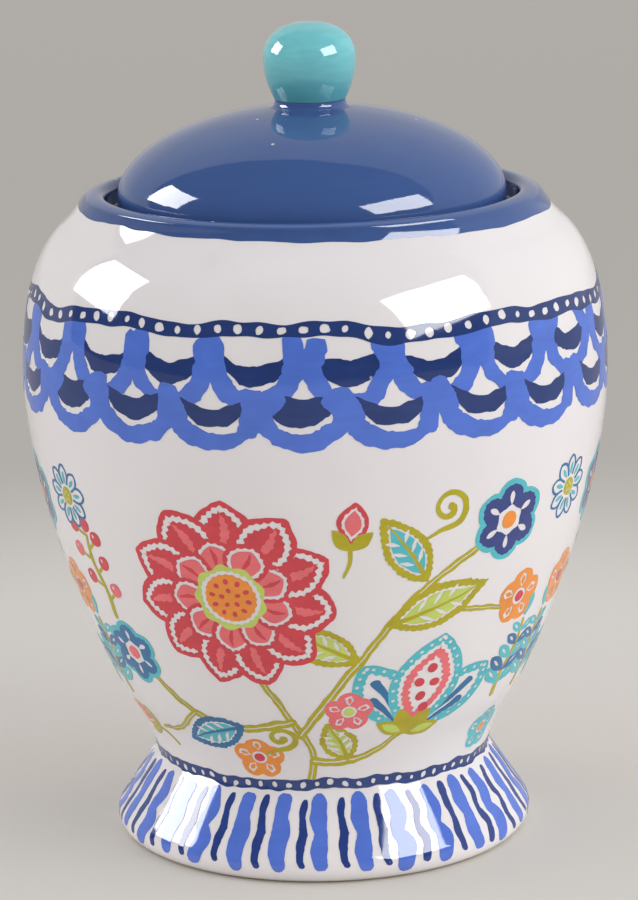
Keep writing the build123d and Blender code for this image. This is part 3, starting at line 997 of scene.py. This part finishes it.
def vine(places, widths=(3.6, 3.0, 2.4)):
    """A stem through places of the panel, split by a thin white line as if painted twice."""
    points = [(math.radians(panel_middle + panel_side * angle) * RING, up) for angle, up in places]
    for paint, thickness, shake in ((OLIVE, 1.0, 0.6), (None, 0.2, 0.35)):
        outline = stroke(points, [w * thickness for w in widths])
        painting.append((paint, shaken(outline, shake, 4.5, 0.37 * len(painting))))


# %% Lay out a panel of flowers
def panel():
    """One third of the flower painting."""
    vine([(-4, 38.5), (-3, 50), (-9, 66), (-16, 84)])
    vine([(-3, 46), (6, 46), (15, 49), (23, 57)])
    vine([(-6, 58), (3, 76), (12, 94), (22, 113), (37, 129)])
    vine([(-8, 64), (-22, 60), (-36, 64), (-48, 78)])
    vine([(17, 103), (31, 104), (45, 101)], (2.4, 2.1, 1.8))
    vine([(-37, 64), (-46, 55), (-56, 52)], (2.2, 2.0, 1.6))
    leaf(spot(9, 88, 62), 27, 13)
    leaf(spot(15, 101, -70), 35, 15.5)
    leaf(spot(23, 116, 34), 29, 14, AQUA)
    leaf(spot(-22, 61, 112), 27, 14, AQUA, TEAL)
    leaf(spot(8, 46, 22), 19, 11)
    frond(spot(54, 64, -4))
    tulip(spot(24, 56, -9))
    star_flower(spot(41, 133), 14)
    star_flower(spot(-52, 84), 12, TEAL, AQUA, PINK)
    small_flower(spot(50, 103), 10)
    small_flower(spot(7, 68), 8, PINK, LIME)
    small_flower(spot(-20, 47), 8.5)
    bud(spot(6, 129, -6), CORAL)
    bud(spot(-60, 50, 66), ORANGE)
    berries(spot(-54, 97, 10))
    tendril(spot(26, 135))
    tendril(spot(-12, 52), 1.2, 4.5)
    big_flower(spot(-19, 112))


for panel_middle, panel_side in ((0.0, 1), (120.0, -1), (-120.0, 1)):
    panel()

# A daisy stands in the gap between each two panels
panel_side = 1
for panel_middle in (-60.0, 60.0, 180.0):
    daisy(spot(0, 138))
    if panel_middle == 60:
        small_flower(spot(0, 48), 8.5, AQUA, ORANGE)

# The waist rope is brushed last, over the feet of the stems
waist_rope, waist_middle = band(36.2, 1.95, 1.0, 14, 6.0)
add_paint("rope_lower", [waist_rope])
add_paint(None, dots_on(waist_middle, 76, 1.9 * RING / 57, 2.2, 71))
print("painting:", len(painting), "shapes")

# %% [markdown]
# ## One skin, no overlaps
# Over a thousand shapes now lie over each other on the sheet. If each became its own skin they would
# flicker where they overlap. So the whole sheet is cut at every outline with Blender's Delaunay
# cutter, and each small triangle takes the colour of the last shape brushed over its middle. Rows
# of extra points lie between the outlines, so no triangle is too big to bend with the jar.
#
# A shape covers a point when its outline winds round it anticlockwise. Where an inner outline
# crosses itself, at the tip of a pointed leaf, it winds the other way and the stray loop drops out.

# %% Cut the sheet into flat areas
def covered(shape, middles):
    """Which middles an anticlockwise outline winds round. The middles come sorted by height."""
    (left, low), (right, high) = shape.min(axis=0), shape.max(axis=0)
    first, last = np.searchsorted(middles[:, 1], (low, high))
    inside = first + np.flatnonzero((middles[first:last, 0] > left) & (middles[first:last, 0] < right))
    ahead = np.roll(shape, -1, axis=0)
    edge = ahead - shape
    found = []
    for few in np.array_split(inside, len(inside) // 2000 + 1):
        x, y = middles[few, 0:1], middles[few, 1:2]
        on_left = edge[:, 0] * (y - shape[:, 1]) > edge[:, 1] * (x - shape[:, 0])
        rising = (shape[:, 1] <= y) & (ahead[:, 1] > y) & on_left
        falling = (ahead[:, 1] <= y) & (shape[:, 1] > y) & ~on_left
        found.append(few[rising.sum(axis=1) > falling.sum(axis=1)])
    return np.concatenate(found)


def sag(up, step):
    """How far the jar's skin bulges from a straight line between two heights."""
    start, end = np.array(skin(up)), np.array(skin(up + step))
    line = (end - start) / max(np.hypot(*(end - start)), 1e-6)
    bulges = [np.array(skin(up + step * part)) - start for part in (0.25, 0.5, 0.75)]
    return max(abs(line[0] * b[1] - line[1] * b[0]) for b in bulges)


def bend_rows(low, high, coarse, allowed=0.03):
    """Heights for rows of points: far apart on the belly and close together where the skin bends."""
    heights, up = [], low
    while up < high:
        heights.append(up)
        step = coarse
        while step > 0.3 and sag(up, step) > allowed:
            step *= 0.85
        up += step
    return heights


def cut_apart(shapes, low, high, coarse=3.0):
    """The corners of the cut sheet, and for each paint a list of the triangles that wear it."""
    laid = []
    for paint, shape in shapes:
        x, y = shape.T
        if np.dot(x, np.roll(y, -1)) < np.dot(y, np.roll(x, -1)):
            shape = shape[::-1]
        for shift in (-2 * half_round, 0, 2 * half_round):
            moved = shape + (shift, 0)
            if moved[:, 0].max() > -half_round and moved[:, 0].min() < half_round:
                laid.append((paint, moved))
    whole = np.array([(-half_round, low), (half_round, low), (half_round, high), (-half_round, high)])
    corners, edges = [], []
    for shape in [whole] + [shape for _, shape in laid]:
        first, count = len(corners), len(shape)
        corners.extend(Vector(point) for point in shape)
        edges.extend((first + k, first + (k + 1) % count) for k in range(count))
    columns = np.linspace(-half_round, half_round, int(2 * half_round / coarse))
    corners.extend(Vector((x, y)) for y in bend_rows(low, high, coarse) for x in columns)
    points, _, triangles, _, _, _ = delaunay_2d_cdt(corners, edges, [], 0, 1e-5)
    middles = np.array([(points[a] + points[b] + points[c]) / 3 for a, b, c in triangles])
    order = np.argsort(middles[:, 1])
    middles, triangles = middles[order], [triangles[k] for k in order]
    wears = np.full(len(triangles), -1)
    for number, (paint, shape) in enumerate(laid):
        wears[covered(shape, middles)] = number
    wears[np.abs(middles[:, 0]) > half_round] = -1
    areas = {}
    for triangle, number in zip(triangles, wears):
        if number >= 0 and laid[number][0]:
            areas.setdefault(laid[number][0], []).append(triangle)
    print(len(laid), "shapes cut into", len(triangles), "triangles")
    return points, areas


# %% [markdown]
# A skin of paint needs a thickness, or it would be a sheet that light and printers can't hold on to.
# Each area becomes a slab: its top stands a tenth of a millimetre proud, its underside is hidden in
# the jar's wall, and walls join the two along every edge.

# %% Give a flat area its thickness
paint_top, paint_bottom = 0.11, -0.2


def slab(points, triangles):
    """A closed slab from flat triangles, on the sheet, in metres."""
    used = sorted({corner for triangle in triangles for corner in triangle})
    number = {corner: index for index, corner in enumerate(used)}
    top = [tuple(number[c] for c in triangle) for triangle in triangles]
    count = len(used)
    edges = {(a, b) for t in top for a, b in ((t[0], t[1]), (t[1], t[2]), (t[2], t[0]))}
    walls = [(a + count, b + count, b, a) for a, b in edges if (b, a) not in edges]
    bottom = [(c + count, b + count, a + count) for a, b, c in top]
    places = [(points[c][0] * MM, points[c][1] * MM, up * MM)
              for up in (paint_top, paint_bottom) for c in used]
    mesh = bpy.data.meshes.new("slab")
    mesh.from_pydata(places, [], top + bottom + sorted(walls))
    return mesh


# %% [markdown]
# The last tree wraps a slab round the jar. For each point it finds the place that far along the
# jar's outline, steps out square to it by the paint's height, and turns by the angle. It also keeps
# the direction square to the glaze at each point. The mesh takes that as its normals, so the paint
# catches the light exactly as the jar's own skin does and the thin walls don't show.

# %% Build the tree that wraps the sheet round the jar
wrap_tree, given, result = node_group("GeometryNodeTree", "wrap_round_the_jar", {
    "Sheet": ("Geometry", None), "Outline": ("Object", None), "Ring": ("Float", RING * MM),
    "Finish": ("Material", None)}, {"Geometry": "Geometry"})
position = geometry(wrap_tree, "InputPosition", {})
across, up_the_side, thick = add(wrap_tree, "ShaderNodeSeparateXYZ", links={0: position}).outputs
guide = add(wrap_tree, "GeometryNodeObjectInfo", links={"Object": given["Outline"]}).outputs["Geometry"]
sampled = add(wrap_tree, "GeometryNodeSampleCurve", mode="LENGTH", links={
    "Curves": guide, "Length": up_the_side}).outputs
heading = add(wrap_tree, "ShaderNodeSeparateXYZ", links={0: sampled["Tangent"]}).outputs
square = add(wrap_tree, "ShaderNodeCombineXYZ", links={
    0: heading[2], 2: maths(wrap_tree, "MULTIPLY", heading[0], -1)}).outputs[0]
outward = vector_maths(wrap_tree, "NORMALIZE", square)
raised = vector_maths(wrap_tree, "ADD", sampled["Position"], vector_maths(wrap_tree, "SCALE", outward, thick))
angle = maths(wrap_tree, "SUBTRACT", maths(wrap_tree, "DIVIDE", across, given["Ring"]), math.pi / 2)
skin_normal, wrapped_place = (
    add(wrap_tree, "ShaderNodeVectorRotate", rotation_type="Z_AXIS", links={
        "Vector": vector, "Angle": angle}).outputs[0] for vector in (outward, raised))
kept = {"Geometry": given["Sheet"], "Name": "skin_normal", "Value": skin_normal}
sheet = geometry(wrap_tree, "StoreNamedAttribute", kept, data_type="FLOAT_VECTOR", domain="POINT")
sheet = geometry(wrap_tree, "SetPosition", {"Geometry": sheet, "Position": wrapped_place})
finished(wrap_tree, sheet, result)
outline_guide = poly_line("outline_guide", [(r, 0, z) for r, z in outline])
print("wrap tree has", len(wrap_tree.nodes), "nodes")

# %% [markdown]
# Brushed colour is never quite even. It streaks, it thins where the brush lifted, and the kiln
# leaves a pale speck here and there. The shared glaze group gives each paint its own share of that.

# %% Mix the paints and wrap them on
paints = {
    "rim_paint": (RIM_BLUE, "blue_glaze", 0.14),
    "rope_upper": (rgb(42, 62, 118), "brush_navy", 0.22),
    "rope_lower": (rgb(44, 66, 126), "brush_navy", 0.22),
    "scale_boats": (rgb(40, 60, 116), "brush_navy", 0.3),
    "scale_net": (rgb(84, 118, 212), "brush_blue", 0.2),
    "foot_strokes_wide": (rgb(88, 120, 214), "brush_blue", 0.2),
    "foot_strokes_narrow": (rgb(44, 66, 134), "brush_navy", 0.25),
    "petals_coral": (rgb(212, 66, 76), "brush_coral", 0.22),
    "petals_pink": (rgb(236, 112, 118), "brush_pink", 0.2),
    "petals_orange": (rgb(242, 148, 58), "brush_orange", 0.2),
    "petals_turquoise": (rgb(84, 190, 202), "brush_turquoise", 0.2),
    "petals_teal": (rgb(46, 112, 164), "brush_blue", 0.25),
    "petals_navy": (rgb(52, 66, 132), "brush_navy", 0.28),
    "leaves_olive": (rgb(182, 170, 24), "brush_olive", 0.22),
    "leaves_lime": (rgb(196, 214, 104), "brush_lime", 0.18),
}


def wrap_on(name, points, triangles, levelled=None, speck=0.5, speck_share=0.03):
    """Wraps one paint's slab round the jar and attaches the piece to the jar's body."""
    colour, slot, unevenness = paints[name]
    finish = glazed(name + "_glaze", colour, pool=unevenness * 1.5, pool_size=110, streak=unevenness,
                    speck=speck, speck_share=speck_share)[0]
    mesh = evaluated(slab(points, triangles), wrap_tree, {
        "Outline": outline_guide, "Ring": RING * MM, "Finish": finish})
    directions = np.zeros(len(mesh.vertices) * 3)
    mesh.attributes["skin_normal"].data.foreach_get("vector", directions)
    mesh.attributes.remove(mesh.attributes["skin_normal"])
    mesh.polygons.foreach_set("use_smooth", [True] * len(mesh.polygons))
    directions = directions.reshape(-1, 3)
    mesh.normals_split_custom_set_from_vertices(levelled(mesh, directions) if levelled else directions)
    mesh.name = name
    piece = put_up(name, mesh)
    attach(piece, "jar")
    print(name, len(mesh.polygons), "faces")


sheet_points, areas = cut_apart(painting, 5.0, rope_middle + 6)
for name, triangles in sorted(areas.items()):
    wrap_on(name, sheet_points, triangles)

# %% [markdown]
# The rim is dipped, not drawn: blue glaze runs over the crest and a little way into the recess, and
# its lower edge wavers like a tide line, a little lower on the right, because the jar went in askew.
# It bends more tightly than the belly, so it is cut finer. Wet glaze also runs level on the rim's
# outer face, which makes it mirror the studio as a steeper and flatter face than the clay under it.
# That takes no new shape, only directions for the light.

# %% Dip the rim
tide_height, askew, rim_step = 208.6, 1.4, 1.6
face_heights, face_leans, lean_to_right = [208.0, 210.9, 212.1, 212.3], [17.5, 6.5, 6.5, 58], 7.0


def levelled_face(mesh, directions):
    """Directions for glaze that has run level on the rim's outer face. A lean is degrees up from outward."""
    places = np.array([v.co for v in mesh.vertices])
    outward = places[:, :2] / np.hypot(*places[:, :2].T)[:, None]
    lean = np.degrees(np.arctan2(directions[:, 2], (directions[:, :2] * outward).sum(axis=1)))
    level = np.interp(places[:, 2] / MM, face_heights, face_leans) + lean_to_right * outward[:, 0]
    lean = np.radians(np.where(lean < face_leans[-1], level, lean))
    return np.column_stack([outward * np.cos(lean)[:, None], np.sin(lean)])


angles = round_angles(rim_step)
tide = up_to(tide_height) - askew * np.sin(angles) + rippled(angles, 0, (0.55, 9, 3.0), (0.3, 26, 8.0))
inner_tide = rippled(angles, along[-1] - 0.5, (0.35, 20, 12.0))
rim_shape = between(angles * RING, tide, inner_tide)
sheet_low, sheet_high = float(tide.min()) - 1, float(along[-1]) - 0.05
rim_points, areas = cut_apart([("rim_paint", rim_shape)], sheet_low, sheet_high, coarse=0.8)
wrap_on("rim_paint", rim_points, areas["rim_paint"], levelled_face, speck=0.9, speck_share=0.2)
bpy.data.objects.remove(outline_guide)
